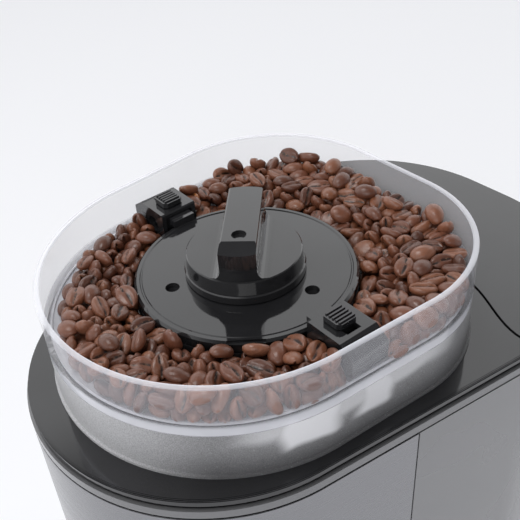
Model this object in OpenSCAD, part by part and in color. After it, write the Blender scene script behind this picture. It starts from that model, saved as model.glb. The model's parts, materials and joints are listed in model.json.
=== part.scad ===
// Burr coffee grinder with a clear hopper, a removable grounds bin and a geared motor.
// Frame: +Z up, origin on the table under the middle of the body; the hopper end is -X.

/* [Body] */
// Height of the deck's top face above the table
deck_z = 194.5; // [192:0.5:197]
// Thickness of the deck and of the lid
deck_t = 3; // [2.8:0.1:3.2]
// X of the centre of the nose arc
nose_x = -49.1; // [-51:0.1:-47]
// Radius of the nose arc
nose_r = 76; // [75:0.5:77]
// X of the centres of the rear corner arcs
corner_x = 48; // [46:0.5:50]
// Distance of the rear corner arcs' centres from the middle
corner_y = 9.5; // [8:0.5:11]
// Radius of the rear corner arcs
corner_r = 76.7; // [75:0.1:78]
// X of the seam between the steel wrap and the rear shell
seam_x = -15; // [-18:1:-12]
// Width of the gap between the deck and the lid
lid_gap = 1.2; // [0.8:0.1:1.6]

/* [Hopper] */
// X of the burr axis
hx = -29; // [-31:0.5:-27]
// Radius of the hopper's front arc at the rim
hop_r = 70.2; // [69:0.1:71]
// Radius of the hopper's rear corners at the rim
hop_cr = 53.6; // [52:0.1:55]
// Half distance between the rear corners' centres
hop_cy = 19.1; // [18:0.1:20]
// Height of the hopper's rim
rim_z = 237; // [235:0.5:240]
// Height of the hopper's floor, underside
floor_z = 215; // [214:0.5:216]
// Wall thickness of the hopper
wall = 2.2; // [2:0.1:2.6]
// How far the skirt's foot flares out past the rim
flare = 1; // [0.5:0.1:1.5]

/* [Burr cover and knob] */
// Height of the cover disc's top face
disc_z = 225; // [224:0.5:226]
// Radius of the cover disc
disc_r = 44; // [43:0.5:44.5]
// Radius of the knob's round body
knob_r = 22.5; // [21:0.5:24]
// Width of the knob's grip bar
grip_w = 13.8; // [12:0.1:15]
// Height of the grip bar above the disc
grip_h = 23; // [21:0.5:26]
// Direction that the grip points in
grip_a = 227; // [220:1:234]

/* [Drive] */
// Module of every gear tooth
gm = 1.25; // [1.25:0.01:1.25]
// Teeth of the burr shaft's gear
z_burr = 42; // [42:1:42]
// Teeth of the idler's pinion
z_ip = 14; // [14:1:14]
// Teeth of the idler's wheel
z_iw = 36; // [36:1:36]
// Teeth of the motor's pinion
z_mp = 12; // [12:1:12]
// Radius of the burr shaft
shaft_r = 4; // [4:0.1:4]
// Radial play of a shaft in its bore
run = 0.05; // [0.03:0.01:0.08]

/* [Grounds bin] */
// Half width of the bin
bin_y = 35; // [34:0.5:35]
// Height of the bin's rim
bin_z = 146; // [140:1:147]

/* [Hidden] */
$fn = 96;
idx = hx - 21; idy = 28;      // idler axis, 35 from the burr axis
mx = hx - 39; my = 4;         // motor axis, 30 from the idler axis
hax = hx - 11.8; hbx = hx + 28.5;
dz = deck_z - 190;             // how far the top parts stand above their drawn height
wrap_z = 181.2 + dz;
eps = 0.01;

lap = 0.02; // how far the straight runs sit inside the arcs

// ---------- plan outlines: one big arc at -X, two corner arcs at +X, tangent lines between ----------
function nrm(ax, ar, bx, by, br) = atan2(by, bx - ax) + acos((ar - br) / norm([bx - ax, by]));

module dflat(ax, ar, bx, by, br, i = 0) {
  t = nrm(ax, ar, bx, by, br);
  a = ar - i; b = br - i;
  u = a - lap; v = b - lap;
  translate([ax, 0]) circle(a);
  for (s = [1, -1]) translate([bx, s*by]) circle(b);
  polygon([[ax + u*cos(t), u*sin(t)], [bx + v*cos(t), by + v*sin(t)], [bx + v, by], [bx + v, -by],
           [bx + v*cos(t), -by - v*sin(t)], [ax + u*cos(t), -u*sin(t)]]);
}

module body_flat(i = 0) dflat(nose_x, nose_r, corner_x, corner_y, corner_r, i);
module hop_flat(i = 0) dflat(hax, hop_r, hbx, hop_cy, hop_cr, i);
// Solid slabs and hollow bands that follow an outline, inset by i
module body_slab(i, z0, z1) translate([0, 0, z0]) linear_extrude(z1 - z0) body_flat(i);
module body_band(i0, i1, z0, z1) difference() { body_slab(i0, z0, z1); body_slab(i1, z0 - 1, z1 + 1); }
module hop_slab(i, z0, z1) translate([0, 0, z0]) linear_extrude(z1 - z0) hop_flat(i);
module hop_band(i0, i1, z0, z1) difference() { hop_slab(i0, z0, z1); hop_slab(i1, z0 - 1, z1 + 1); }

// The S-curved line between deck and lid
function sm(u) = u <= 0 ? 0 : u >= 1 ? 1 : u*u*(3 - 2*u);
function sx(y) = 57 - 13.5*sm((abs(y) - 38)/40);
module ahead_of_s(d = 0) polygon(concat([[-200, -120]], [for (y = [-96:3:96]) [sx(y) + d, y]], [[-200, 120]]));
module behind_s(d = 0) polygon(concat([[200, -120]], [for (y = [-96:3:96]) [sx(y) + d, y]], [[200, 120]]));

// ---------- small helpers ----------
module tube(r, ri, z0, z1) translate([0, 0, z0]) difference() {
  cylinder(r = r, h = z1 - z0);
  translate([0, 0, -1]) cylinder(r = ri, h = z1 - z0 + 2);
}
module rod(r, z0, z1) translate([0, 0, z0]) cylinder(r = r, h = z1 - z0);
module box(x0, x1, y0, y1, z0, z1) translate([x0, y0, z0]) cube([x1 - x0, y1 - y0, z1 - z0]);
module at(x, y) translate([x, y, 0]) children();
// A straight-flanked spur gear with its teeth thinned for backlash
module gear2d(n, play = 0.32) {
  p = gm*n/2; ro = p + gm*0.92; ri = p - gm*1.12;
  hp = 90/n - play*57.3/p/2;
  ht = hp*0.50; hr = hp*1.42;
  circle(ri);
  for (k = [0:n-1]) rotate(k*360/n)
    polygon([[ri*0.9*cos(hr), -ri*0.9*sin(hr)], [ri*cos(hr), -ri*sin(hr)], [p*cos(hp), -p*sin(hp)],
             [ro*cos(ht), -ro*sin(ht)], [ro*cos(ht), ro*sin(ht)], [p*cos(hp), p*sin(hp)],
             [ri*cos(hr), ri*sin(hr)], [ri*0.9*cos(hr), ri*0.9*sin(hr)]]);
}
// A coil shown as close rings joined by two wires; axis +Z, from 0 to len
module coil(r, w, n, len) {
  for (k = [0:n-1]) translate([0, 0, w + k*(len - 2*w)/(n - 1)]) rotate_extrude($fn = 48) translate([r, 0]) circle(w, $fn = 16);
  for (a = [0, 180]) rotate([0, 0, a]) translate([r, 0, w]) cylinder(r = w*0.7, h = len - 2*w, $fn = 16);
}

// ---------- body ----------
foot_at = [[-92, 34], [-92, -34], [92, 50], [92, -50]];
base_screw_at = [[6, 74.6], [6, -74.6], [62, 77.3], [62, -77.3]];
module feet() color([0.08, 0.08, 0.08]) for (p = foot_at) at(p[0], p[1]) {
  translate([0, 0, 0]) cylinder(r1 = 8, r2 = 9, h = 4);
  rod(3.9, 3.9, 9);
  rod(5.2, 7.2, 8.4);
}
module base_pan() color([0.12, 0.12, 0.13]) difference() {
  union() {
    body_slab(5, 4, 7);
    body_band(2.6, 5.4, 4, 18);
    at(mx, my) tube(24, 18, 6.5, 16);
    for (p = base_screw_at) at(p[0], p[1]) rod(5, 6, 18);
    for (s = [1, -1]) box(-110.9, -108.9, s*20.6 - 1.2, s*20.6 + 1.2, 6, 60);
  }
  for (p = foot_at) at(p[0], p[1]) rod(4, 3, 10);
  for (p = base_screw_at) at(p[0], p[1]) { rod(2.15, 3, 20); rod(4.2, 3, 6.6); }
  box(110, 140, -15.5, 15.5, 13.4, 20);
  for (x = [-20:8:44]) box(x, x + 4, -30, 30, 3, 9);
  at(mx, my) for (a = [0:45:315]) rotate([0, 0, a]) box(11, 19, -1.8, 1.8, 3, 9);
}
module front_wrap() color([0.72, 0.72, 0.74]) difference() {
  union() {
    body_slab(0, 8.2, wrap_z - 0.25);
    body_slab(0.15, 8, wrap_z);
  }
  body_slab(1, 7, wrap_z + 1);
  box(seam_x - 0.3, 140, -100, 100, 0, 200);
  box(-140, -100, -25.3, 25.3, 53.7, 120.3);
}
module rear_shell() color([0.55, 0.55, 0.57]) difference() {
  union() {
    intersection() {
      difference() {
        body_slab(0, 8, wrap_z);
        body_slab(2.4, 7, wrap_z + 1);
        body_slab(1.3, wrap_z - 2.6, wrap_z + 1);
      }
      box(seam_x + 0.3, 140, -100, 100, 0, 200);
    }
    for (s = [1, -1]) {
      // lap strip behind the wrap's rear edge
      intersection() {
        body_band(1.2, 2.9, 18.6, 178);
        box(seam_x - 9, seam_x + 4, s > 0 ? 40 : -100, s > 0 ? 100 : -40, 0, 200);
      }
      for (p = base_screw_at) at(p[0], p[1]) tube(5, 1.75, 18.2, 40);
      for (p = base_screw_at) box(p[0] - 1.2, p[0] + 1.2, p[1] > 0 ? p[1] + 4 : p[1] - 7.2, p[1] > 0 ? p[1] + 7.2 : p[1] - 4, 18.2, 40);
    }
  }
  box(110, 140, -36, 36, 39.6, 149);
  box(118, 140, -15.2, 15.2, 13.6, 34.4);
  box(115, 140, -27, 27, 176.5 + dz, 210);
  for (s = [1, -1], k = [0:6]) box(24 + k*7, 27.5 + k*7, s*84 - 12, s*84 + 12, 30, 58);
}
module trim_band() color([0.5, 0.5, 0.52]) translate([0, 0, dz]) difference() {
  union() {
    body_slab(0, 182.1, 185.7);
    body_slab(0.25, 181.8, 186);
  }
  body_slab(1.5, 180, 188);
  box(115, 140, -27, 27, 170, 200);
}
module deck() color([0.05, 0.05, 0.06]) translate([0, 0, dz]) difference() {
  intersection() {
    union() {
      body_slab(1.1, 190 - deck_t, 189.2);
      body_slab(1.3, 190 - deck_t + 0.2, 189.6);
      body_slab(1.6, 190 - deck_t + 0.3, 189.85);
      body_slab(2.1, 190 - deck_t + 0.4, 190);
      body_band(1.8, 4, 179.5, 188);
      for (a = [45:90:315]) at(hx, 0) rotate([0, 0, a]) at(46, 0) rod(4.5, 186.7, 187.5);
    }
    translate([0, 0, 150]) linear_extrude(60) ahead_of_s(0);
  }
  at(hx, 0) rod(40.4, 170, 200);
  for (a = [45:90:315]) at(hx, 0) rotate([0, 0, a]) at(46, 0) rod(2.15, 180, 200);
}
// Frame under the lid: rest for the lid, mouth of the bay, hinge ears
module bay_frame() color([0.06, 0.06, 0.065]) translate([0, 0, dz]) difference() {
  union() {
    intersection() {
      union() {
        body_slab(3, 183, 186);
        body_band(1.6, 4, 179.5, 186);
      }
      translate([0, 0, 150]) linear_extrude(60) behind_s(1);
    }
    // tongue under the deck's edge
    intersection() {
      translate([0, 0, 183]) linear_extrude(3) body_flat(6);
      translate([0, 0, 150]) linear_extrude(60) behind_s(-5);
      box(0, 70, -100, 100, 150, 200);
    }
    for (s = [1, -1]) {
      translate([124, s*22.5 + 2.5, 182]) rotate([90, 0, 0]) cylinder(r = 3.2, h = 5);
      box(118, 124, s*22.5 - 2.5, s*22.5 + 2.5, 180, 184);
    }
  }
  box(66, 114, -37.4, 37.4, 170, 200);
  box(117.5, 140, -19.6, 19.6, 170, 200);
  translate([124, 40, 182]) rotate([90, 0, 0]) cylinder(r = 1.5, h = 80);
}
module rear_lid() color([0.05, 0.05, 0.06]) translate([0, 0, dz]) difference() {
  union() {
    intersection() {
      union() {
        body_slab(1.1, 186.6, 189.2);
        body_slab(1.3, 186.8, 189.6);
        body_slab(1.6, 187, 189.85);
        body_slab(2.1, 187.2, 190);
      }
      translate([0, 0, 150]) linear_extrude(60) behind_s(lid_gap);
    }
    translate([124, 19.2, 182]) rotate([90, 0, 0]) cylinder(r = 3.2, h = 38.4);
    box(120.9, 122.8, -19.2, 19.2, 182, 187.5);
    // stiffening ribs below, inside the bay's mouth
    for (y = [-30, 0, 30]) box(68, 112, y - 1, y + 1, 184.4, 186.8);
    for (x = [67.5, 111.5]) box(x, x + 1.6, -31, 31, 184.4, 186.8);
  }
  translate([124, 40, 182]) rotate([90, 0, 0]) cylinder(r = 1.5 + run, h = 80);
  // five vent slots across the lid's far half
  for (k = [0:4]) translate([64 + k*5.2, 50, 180]) cube([2.4, 22, 20]);
}
module lid_hinge_pin() color([0.7, 0.7, 0.7]) translate([124, 25.4, 182 + dz]) rotate([90, 0, 0]) cylinder(r = 1.5, h = 50.8);

// ---------- hopper ----------
module hopper_collar() color([0.75, 0.75, 0.77, 0.7]) union() {
  hop_band(0, wall, deck_z, floor_z);
  hop_band(-flare, wall - 0.6, deck_z, deck_z + 1.2);
  // inside tabs that the hopper's floor clips over
  for (x = [16, 32], s = [1, -1]) at(hx + x, 0) box(-6, 6, s > 0 ? 61 : -71.1, s > 0 ? 71.1 : -61, floor_z - 7, floor_z);
}
module hopper_tub() color([0.9, 0.9, 0.95, 0.3]) difference() {
  union() {
    hop_slab(0, floor_z, rim_z - 0.5);
    hop_slab(0.2, floor_z + 0.3, rim_z - 0.15);
    hop_slab(0.55, floor_z + 0.6, rim_z);
    // funnel and throat sleeve
    at(hx, 0) rotate_extrude($fn = 160) polygon([[44.2, 197.6], [46.4, 197.6], [46.4, 206.6], [59.5, floor_z + 0.02], [59.5, floor_z + 1.9], [44.2, floor_z + 1.9]]);
  }
  hop_slab(wall, floor_z + 3, rim_z + 1);
  hop_slab(wall + 1, floor_z + 2, floor_z + 4);
  hop_slab(wall - 0.35, rim_z - 0.4, rim_z + 1);
  at(hx, 0) rotate_extrude($fn = 160) polygon([[0, 190], [44.2, 190], [44.2, 208], [57.6, floor_z + 2], [58.6, floor_z + 5], [0, floor_z + 5]]);
  for (s = [1, -1], x = [-6, 6]) at(hx + x, s*62) rod(1.6, 210, 220);
}
// Ribbed ring that carries the cover and lets beans through to the throat
module bean_cage() color([0.05, 0.05, 0.05]) at(hx, 0) {
  tube(44.1, 39.2, 208, 210.2);
  tube(44, 40.5, 217.4, 220);
  for (k = [0:15]) rotate([0, 0, k*22.5 + 5]) box(40.6, 43.9, -1.5, 1.5, 210, 217.6);
}
module latch_shell() {
  difference() {
    translate([-8.5, 0, 0]) rotate([90, 0, 90]) linear_extrude(17)
      polygon([[45.5, 217], [66.6, 217], [67.8, 219.4], [67.8, 226.8], [61.8, 231], [46.1, 231], [45.5, 230.4]]);
    box(-6.5, 6.5, 44, 62, 219, 229);
    box(-3.2, 3.2, 48.6, 60, 228, 232);
    for (s = [1, -1]) translate([s*7.5, 53.5, 223.6]) rotate([0, 90, 0]) cylinder(r = 3.6, h = 4, center = true);
    for (x = [-6, 6]) at(x, 62) rod(1.3, 214, 224);
  }
}
module latch_slider() {
  box(-6.1, 6.1, 47, 57, 219.4, 228.6);
  difference() {
    box(-5, 5, 41.4, 47.5, 225.5, 228.6);
    translate([-6, 41.4, 228.6]) rotate([45, 0, 0]) cube([12, 1.4, 1.4], center = false);
  }
  box(-2.8, 2.8, 50, 56, 228, 231.6);
  difference() {
    box(-4.6, 4.6, 48.2, 57.4, 231.5, 233.7);
    for (sx = [1, -1], sy = [1, -1]) translate([sx*4.6, 52.8 + sy*4.6, 230]) rotate([0, 0, 45]) cube([2, 2, 12], center = true);
  }
  for (k = [0:4]) box(-3.6, 3.6, 49.5 + k*1.6, 50.2 + k*1.6, 233.6, 234.3);
  translate([0, 56.9, 224]) rotate([-90, 0, 0]) cylinder(r = 1.6, h = 1.6);
}
module latch_coil() translate([0, 57, 224]) rotate([-90, 0, 0]) translate([0, 0, 0.3]) coil(2.9, 0.35, 5, 4.4);
module latch_housing_near() color([0.06, 0.06, 0.06]) at(hx, 0) mirror([0, 1, 0]) latch_shell();
module latch_housing_far() color([0.06, 0.06, 0.06]) at(hx, 0) latch_shell();
module latch_slide_near() color([0.05, 0.05, 0.05]) at(hx, 0) mirror([0, 1, 0]) latch_slider();
module latch_slide_far() color([0.05, 0.05, 0.05]) at(hx, 0) latch_slider();
module latch_spring_near() color([0.7, 0.7, 0.7]) at(hx, 0) mirror([0, 1, 0]) latch_coil();
module latch_spring_far() color([0.7, 0.7, 0.7]) at(hx, 0) latch_coil();

module burr_cover() color([0.04, 0.04, 0.045]) at(hx, 0) difference() {
  rotate_extrude($fn = 180) polygon([[5 + run, 216.6], [9, 216.6], [9.6, 220], [39, 220], [39, 218.6], [40.2, 218.6], [40.2, 220],
    [43.6, 220], [disc_r, 220.6], [disc_r, disc_z - 0.9], [disc_r - 0.9, disc_z], [41.9, disc_z], [41.6, disc_z - 0.35], [41.1, disc_z - 0.35],
    [40.8, disc_z], [5 + run, disc_z]]);
  for (a = [grip_a - 65, grip_a + 61]) rotate([0, 0, a]) at(30, 0) rod(2.8, disc_z - 2.2, disc_z + 1);
  rotate([0, 0, grip_a + 5]) translate([42.9, 0, disc_z]) cube([1, 14, 1.6], center = true);
}
module knob_side() {
  // section across the grip, from the flat wings up into the bar
  w = grip_w/2; z0 = disc_z + 9.6; f = 4.2; zt = disc_z + grip_h;
  polygon(concat([[-30, disc_z + 0.5], [30, disc_z + 0.5], [30, z0], [w + f, z0]],
    [for (a = [15:15:90]) [w + f - f*sin(a), z0 + f - f*cos(a)]],
    [[w, zt - 0.8], [w - 0.25, zt - 0.25], [w - 0.8, zt], [-w + 0.8, zt], [-w + 0.25, zt - 0.25], [-w, zt - 0.8]],
    [for (a = [90:-15:15]) [-w - f + f*sin(a), z0 + f - f*cos(a)]],
    [[-w - f, z0], [-30, z0]]));
}
module knob() color([0.05, 0.05, 0.055]) at(hx, 0) rotate([0, 0, grip_a]) difference() {
  union() {
    intersection() {
      translate([-40, 0, 0]) rotate([90, 0, 90]) linear_extrude(80) knob_side();
      rotate_extrude($fn = 160) polygon([[0, disc_z + 0.5], [knob_r + 0.7, disc_z + 0.5], [knob_r, disc_z + 9.2], [knob_r - 0.5, disc_z + 9.7],
        [knob_r - 0.5, disc_z + 10], [knob_r - 0.1, disc_z + 10.4], [knob_r - 0.3, disc_z + 40], [0, disc_z + 40]]);
      // flat top that falls away at the pointing end
      translate([0, 40, 0]) rotate([90, 0, 0]) linear_extrude(80)
        polygon([[-40, disc_z], [40, disc_z], [40, disc_z + 17.9], [22.4, disc_z + 21.4], [15, disc_z + grip_h], [-40, disc_z + grip_h]]);
    }
    rotate_extrude($fn = 160) polygon([[0, disc_z + 0.5], [knob_r + 1.3, disc_z + 0.5], [knob_r + 1.3, disc_z + 3.4], [knob_r + 0.9, disc_z + 3.9], [0, disc_z + 3.9]]);
  }
  rod(5, disc_z - 1, 232);
  at(10.8, 0) rod(2.8, disc_z + grip_h - 1.6, disc_z + grip_h + 2);
}
module adjust_spindle() color([0.65, 0.65, 0.66]) at(hx, 0) rotate_extrude()
  polygon(concat([[0, 205], [5.2, 205]], [for (k = [0:3], q = [0, 1]) [q == 0 ? 6 : 5.2, 206 + k*2 + q]],
    [[6, 213.6], [8, 213.6], [8, 216.1], [5, 216.1], [5, 231.6], [4.4, 232], [0, 232]]));

// ---------- burrs ----------
module burr_carrier() color([0.15, 0.15, 0.16]) at(hx, 0) {
  rotate_extrude($fn = 120) polygon([[29, 178], [32, 178], [32, 205], [31, 206], [29.6, 206], [26, 200], [26, 198.05], [29, 198.05]]);
  tube(10, 6 + run, 205.6, 212.4);
  for (k = [0:2]) rotate([0, 0, k*120 + 30]) {
    box(9.4, 11, -3, 3, 205.6, 210);
    translate([0, 3, 0]) rotate([90, 0, 0]) linear_extrude(6) polygon([[9.4, 206], [9.4, 210.5], [30.5, 206], [30.5, 202], [27.2, 202]]);
  }
  for (k = [0:2]) rotate([0, 0, k*120 + 90]) box(31.5, 35.2, -3, 3, 183, 192);
}
module ring_burr() color([0.6, 0.6, 0.62]) at(hx, 0) difference() {
  rotate_extrude($fn = 120) polygon([[20.7, 178], [29, 178], [29, 198], [22, 198], [16.2, 188]]);
  for (k = [0:11]) rotate([0, 0, k*30]) translate([19.4, 0, 194]) rotate([0, 30, 14]) cube([2.2, 2.4, 18], center = true);
}
module cone_burr() color([0.6, 0.6, 0.62]) at(hx, 0) difference() {
  rotate_extrude($fn = 96) polygon([[shaft_r, 176], [19.5, 176], [19.5, 178], [15, 188], [9, 198], [shaft_r, 198]]);
  for (k = [0:7]) rotate([0, 0, k*45]) translate([13.6, 0, 190.5]) rotate([0, -31, 18]) cube([3, 3.4, 26], center = true);
  for (k = [0:23]) rotate([0, 0, k*15 + 7]) translate([19.4, 0, 178.5]) rotate([0, -22, 20]) cube([1.6, 1.3, 9], center = true);
}
module burr_nut() color([0.7, 0.7, 0.7]) at(hx, 0) difference() {
  translate([0, 0, 198]) cylinder(r = 7, h = 4, $fn = 6);
  rod(shaft_r, 190, 210);
}
module burr_shaft() color([0.7, 0.7, 0.7]) at(hx, 0) { rod(shaft_r, 106, 202.6); rod(3.2, 202.5, 203.4); }
module sweeper() color([0.12, 0.12, 0.12]) at(hx, 0) difference() {
  union() {
    rod(9, 157.6, 176);
    for (k = [0:3]) rotate([0, 0, k*90 + 20]) box(8, 33.4, -1.6, 1.6, 157.6, 168);
  }
  rod(shaft_r, 150, 180);
}
module grind_chamber() color([0.3, 0.3, 0.31]) at(hx, 0) difference() {
  union() {
    rod(39, 152, 206);
    rod(49.5, 182 + dz, 186.7 + dz);
    for (a = [45:90:315]) rotate([0, 0, a]) at(46, 0) rod(4.5, 172 + dz, 186.7 + dz);
    rod(12, 149.1, 153);
    box(30, 42.8, -17, 17, 154, 180);
  }
  rod(34.5, 156, 176);
  rod(32.4, 175, 207);
  rod(8.5, 140, 160);
  for (k = [0:2]) rotate([0, 0, k*120 + 90]) box(28, 35.6, -3.4, 3.4, 178, 207);
  for (a = [45:90:315]) rotate([0, 0, a]) at(46, 0) rod(1.75, 174 + dz, 192 + dz);
  for (a = [90, 210, 330]) rotate([0, 0, a]) at(26, 0) rod(1.35, 148, 155);
  box(25, 50, -13, 13, 157.5, 175);
}
module throat_gasket() color([0.1, 0.1, 0.1]) at(hx, 0) tube(41, 36.2, 206, 208);
module chute() color([0.14, 0.14, 0.15]) difference() {
  translate([0, 16.8, 0]) rotate([90, 0, 0]) linear_extrude(33.6)
    polygon([[14, 154.6], [48, 149.5], [48, 169], [14, 178.4]]);
  translate([0, 12.8, 0]) rotate([90, 0, 0]) linear_extrude(25.6)
    polygon([[10, 157.6], [50, 151.4], [50, 165.4], [10, 175.6]]);
}
module bearing_upper() color([0.66, 0.55, 0.35]) at(hx, 0) tube(8.5, shaft_r + run, 146, 156);
module bearing_lower() color([0.66, 0.55, 0.35]) at(hx, 0) difference() { rod(8.5, 104, 112); rod(shaft_r + run, 105.6, 113); }
module shaft_seal() color([0.75, 0.72, 0.65]) at(hx, 0) tube(8.4, 4.35, 156.05, 157.2);

// ---------- gears and motor ----------
a_bi = atan2(idy, idx - hx);              // from burr axis to idler axis
a_im = atan2(my - idy, mx - idx);         // from idler axis to motor axis
module burr_gear() color([0.85, 0.85, 0.8]) at(hx, 0) difference() {
  union() {
    translate([0, 0, 114]) linear_extrude(10) rotate(a_bi) gear2d(z_burr);
    rod(9, 112.6, 128);
  }
  rod(shaft_r, 100, 140);
  for (k = [0:5]) rotate([0, 0, k*60]) at(16, 0) rod(4.5, 110, 130);
}
module idler_gear() color([0.85, 0.85, 0.8]) at(idx, idy) difference() {
  union() {
    translate([0, 0, 114]) linear_extrude(13) rotate(a_bi + 180 + 180/z_ip) gear2d(z_ip);
    translate([0, 0, 127]) linear_extrude(9) rotate(a_im) gear2d(z_iw);
    rod(6, 111, 142);
  }
  rod(3 + run, 100, 150);
  for (k = [0:4]) rotate([0, 0, k*72]) at(14.4, 0) rod(4, 126.9, 140);
}
module idler_shaft() color([0.7, 0.7, 0.7]) at(idx, idy) rod(3, 104, 149);
module motor_pinion() color([0.75, 0.65, 0.4]) at(mx, my) difference() {
  translate([0, 0, 126]) linear_extrude(11) rotate(a_im + 180 + 180/z_mp) gear2d(z_mp);
  rod(2.5, 120, 140);
}
module box_flat(i) { at(hx, 0) circle(32 - i); at(idx, idy) circle(27.5 - i); at(mx, my) circle(15 - i); }
box_screw_at = [[hx + 26*cos(90), 26*sin(90)], [hx + 26*cos(210), 26*sin(210)], [hx + 26*cos(330), 26*sin(330)]];
module gearbox_case() color([0.2, 0.2, 0.21]) difference() {
  union() {
    translate([0, 0, 104]) linear_extrude(42) box_flat(0);
    for (s = [1, -1]) at(mx, my) rotate([0, 0, s*90 + 10]) { at(19, 0) rod(4, 104, 110); box(12, 19, -2.5, 2.5, 104, 110); }
  }
  translate([0, 0, 107]) linear_extrude(50) box_flat(3);
  at(hx, 0) rod(8.5, 100, 110);
  at(idx, idy) rod(3, 100, 110);
  at(mx, my) rod(9.1, 100, 110);
  for (s = [1, -1]) at(mx, my) rotate([0, 0, s*90 + 10]) at(19, 0) rod(1.6, 100, 112);
}
module gearbox_lid() color([0.2, 0.2, 0.21]) difference() {
  union() {
    translate([0, 0, 146]) linear_extrude(3) box_flat(0);
    at(mx, my) rod(15, 146, 149);
    for (p = box_screw_at) at(p[0], p[1]) rod(4.5, 148, 152);
  }
  at(hx, 0) rod(8.5, 140, 155);
  at(hx, 0) tube(12.2, 8, 149, 155);
  at(idx, idy) rod(3, 140, 155);
  for (p = box_screw_at) at(p[0], p[1]) rod(1.6, 140, 155);
}
module motor_can() color([0.55, 0.56, 0.58]) at(mx, my) difference() {
  union() {
    rod(27, 34, 104);
    rod(9, 103.9, 107);
  }
  rod(25.4, 33, 102);
  rod(2.5 + run, 100, 110);
  for (s = [1, -1]) rotate([0, 0, s*90 + 10]) at(19, 0) rod(1.35, 100, 106);
}
module motor_magnets() color([0.22, 0.2, 0.2]) at(mx, my) intersection() {
  tube(25.3, 21.4, 46, 92);
  for (s = [0, 180]) rotate([0, 0, s]) translate([0, 0, 40]) linear_extrude(60)
    polygon([[0, 0], [20, -34], [60, -34], [60, 34], [20, 34]]);
}
module motor_rotor() color([0.45, 0.4, 0.36]) at(mx, my) difference() {
  rod(20.6, 50, 88);
  rod(2.5, 40, 100);
  for (k = [0:6]) rotate([0, 0, k*360/7]) { box(19, 24, -1, 1, 49, 89); translate([14.5, 0, 49]) cylinder(r = 3.4, h = 40, $fn = 32); box(14, 21, -1, 1, 49, 89); }
}
module motor_shaft() color([0.72, 0.72, 0.72]) at(mx, my) rod(2.5, 24, 138);
module commutator() color([0.72, 0.45, 0.25]) at(mx, my) difference() {
  rod(7, 37, 48);
  rod(2.5, 30, 50);
  for (k = [0:13]) rotate([0, 0, k*360/14]) box(6.3, 8, -0.25, 0.25, 36, 46);
}
module motor_end_bell() color([0.16, 0.16, 0.17]) at(mx, my) difference() {
  union() { rod(27, 26, 34); rod(8, 20.6, 27); }
  rod(23.5, 29, 35);
  rod(2.5 + run, 22.4, 40);
  for (a = [30, 150, 210, 330]) rotate([0, 0, a]) at(17, 0) rod(3, 20, 30);
}
module motor_brushes() color([0.15, 0.15, 0.16]) at(mx, my) for (s = [0, 180]) rotate([0, 0, s + 90]) {
  box(7.4, 22, -2.4, 2.4, 39.6, 45);
  difference() { box(12, 25, -4.2, 4.2, 37.4, 44.9); box(11, 22, -2.4, 2.4, 39.6, 46); }
  box(19, 22.8, -4.2, 4.2, 29, 37.5);
}
module motor_mount() color([0.1, 0.1, 0.1]) at(mx, my) difference() {
  rod(22, 16, 26);
  rod(8.6, 15, 30);
  for (a = [0:45:315]) rotate([0, 0, a]) at(15.4, 0) rod(3, 15, 30);
}

// ---------- controls ----------
module control_panel() color([0.06, 0.06, 0.06]) difference() {
  intersection() {
    body_band(0, 3.4, 54, 120);
    box(-140, -100, -25, 25, 50, 130);
  }
  translate([-140, 0, 98]) rotate([0, 90, 0]) cylinder(r = 3 + run, h = 30);
  translate([-140, 0, 71]) rotate([0, 90, 0]) cylinder(r = 8.08, h = 30);
}
module start_button() color([0.75, 0.75, 0.76]) translate([0, 0, 71]) rotate([0, 90, 0]) difference() {
  union() {
    rotate_extrude() polygon([[0, -128.6], [6.8, -128.6], [8, -127.8], [8, -118.8], [0, -118.8]]);
    translate([0, 0, -120.6]) cylinder(r = 9.8, h = 1.8);
  }
  translate([0, 0, -124]) cylinder(r = 6.4, h = 6);
}
module button_spring() color([0.7, 0.7, 0.7]) translate([-123.7, 0, 71]) rotate([0, 90, 0]) coil(5.2, 0.4, 6, 10.8);
module quantity_dial() color([0.08, 0.08, 0.085]) translate([0, 0, 98]) rotate([0, 90, 0]) difference() {
  union() {
    rotate_extrude() polygon([[0, -131.5], [11.4, -131.5], [12.8, -130.4], [13.4, -126.2], [0, -126.2]]);
    translate([0, 0, -127]) cylinder(r = 3, h = 11);
  }
  translate([-9, 0, -131.5]) cube([7, 1.2, 1], center = true);
  for (k = [0:23]) rotate([0, 0, k*15]) translate([13.7, 0, -129]) cylinder(r = 0.7, h = 8, center = true, $fn = 16);
}
module dial_encoder() color([0.3, 0.3, 0.3]) difference() {
  box(-119.4, -112.6, -6.5, 6.5, 91.5, 104.5);
  translate([-125, 0, 98]) rotate([0, 90, 0]) cylinder(r = 3.4, h = 9.6);
}
module control_board() color([0.1, 0.35, 0.2]) {
  box(-112.6, -111, -22, 22, 44, 112);
  box(-118.4, -112.5, -3, 3, 68, 74);
  box(-122, -118.3, -1.6, 1.6, 69.4, 72.6);
  box(-111.1, -102, -18, -6, 92, 108);
  box(-111.1, -98, 4, 18, 88, 106);
  box(-111.1, -107, -17, 17, 50, 58);
  box(-111.1, -105, -16, -4, 64, 84);
  for (y = [6, 14]) translate([-111.1, y, 72]) rotate([0, 90, 0]) cylinder(r = 3.4, h = 11);
}
module power_inlet() color([0.07, 0.07, 0.07]) {
  difference() {
    union() {
      box(108, 125, -15, 15, 13.8, 34.2);
      box(124.8, 127.6, -17.5, 17.5, 12.4, 35.6);
    }
    box(111, 131, -12, 12, 16.8, 31.2);
  }
  for (p = [[-7, 22.6], [7, 22.6], [0, 26.6]]) box(110.5, 124, p[0] - 1, p[0] + 1, p[1] - 2, p[1] + 2);
  for (y = [-7, 0, 7]) box(101, 108.1, y - 2.4, y + 2.4, 22, 23);
}

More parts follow.
